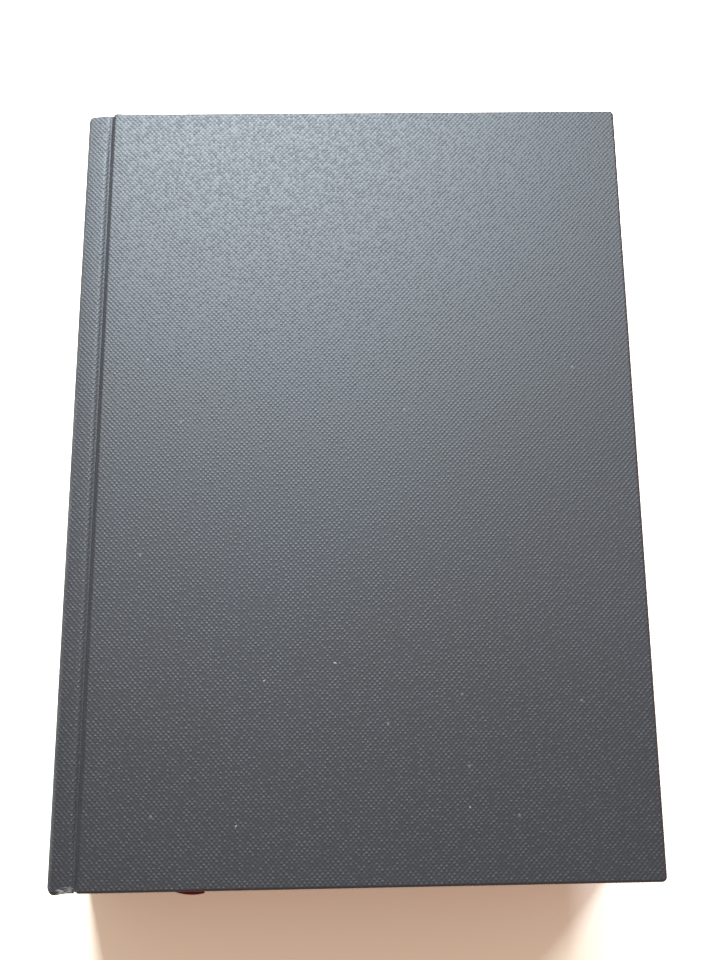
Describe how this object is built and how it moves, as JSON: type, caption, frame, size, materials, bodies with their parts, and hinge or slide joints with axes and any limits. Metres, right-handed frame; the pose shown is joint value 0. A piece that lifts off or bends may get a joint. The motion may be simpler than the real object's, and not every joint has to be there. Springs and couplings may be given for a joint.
{
  "type": "hardback book",
  "caption": "Hardback book in plain slate-blue cloth with a flat spine, pressed joint grooves, stained page edges, a ribbon marker and hinged covers.",
  "frame": {"origin": "middle of the back cover's outer face, on which the book lies", "axes": "+X from the spine to the fore-edge, +Y from the tail to the head of the pages, +Z from the back cover to the front cover"},
  "size_m": [0.155, 0.2181, 0.04],
  "materials": {
    "book_cloth": "plain-weave book cloth, slate blue",
    "binders_board": "grey-brown millboard",
    "stained_pages": "page edges stained red",
    "endpaper": "ivory uncoated paper",
    "mull_gauze": "open cotton gauze",
    "lining_paper": "brown kraft paper",
    "band_cloth": "woven band, red and cream",
    "ribbon": "red satin ribbon"
  },
  "bodies": {
    "block": {"text_block": "stained_pages", "front_flyleaf": "endpaper", "back_flyleaf": "endpaper", "mull": "mull_gauze", "spine_lining": "lining_paper", "head_band": "band_cloth", "tail_band": "band_cloth", "ribbon_marker": "ribbon", "spine_board": "binders_board", "spine_cloth": "book_cloth"},
    "front_cover": {"front_board": "binders_board", "front_cover_cloth": "book_cloth", "front_pastedown": "endpaper"},
    "back_cover": {"back_board": "binders_board", "back_cover_cloth": "book_cloth", "back_pastedown": "endpaper"}
  },
  "joints": [
    {"name": "front_joint", "type": "hinge", "parent": "block", "child": "front_cover", "pos_m": [-0.0705, 0, 0.04], "axis": [0, -1, 0], "range_deg": [0, 180]},
    {"name": "back_joint", "type": "hinge", "parent": "block", "child": "back_cover", "pos_m": [-0.0705, 0, 0], "axis": [0, 1, 0], "range_deg": [0, 180]}
  ]
}
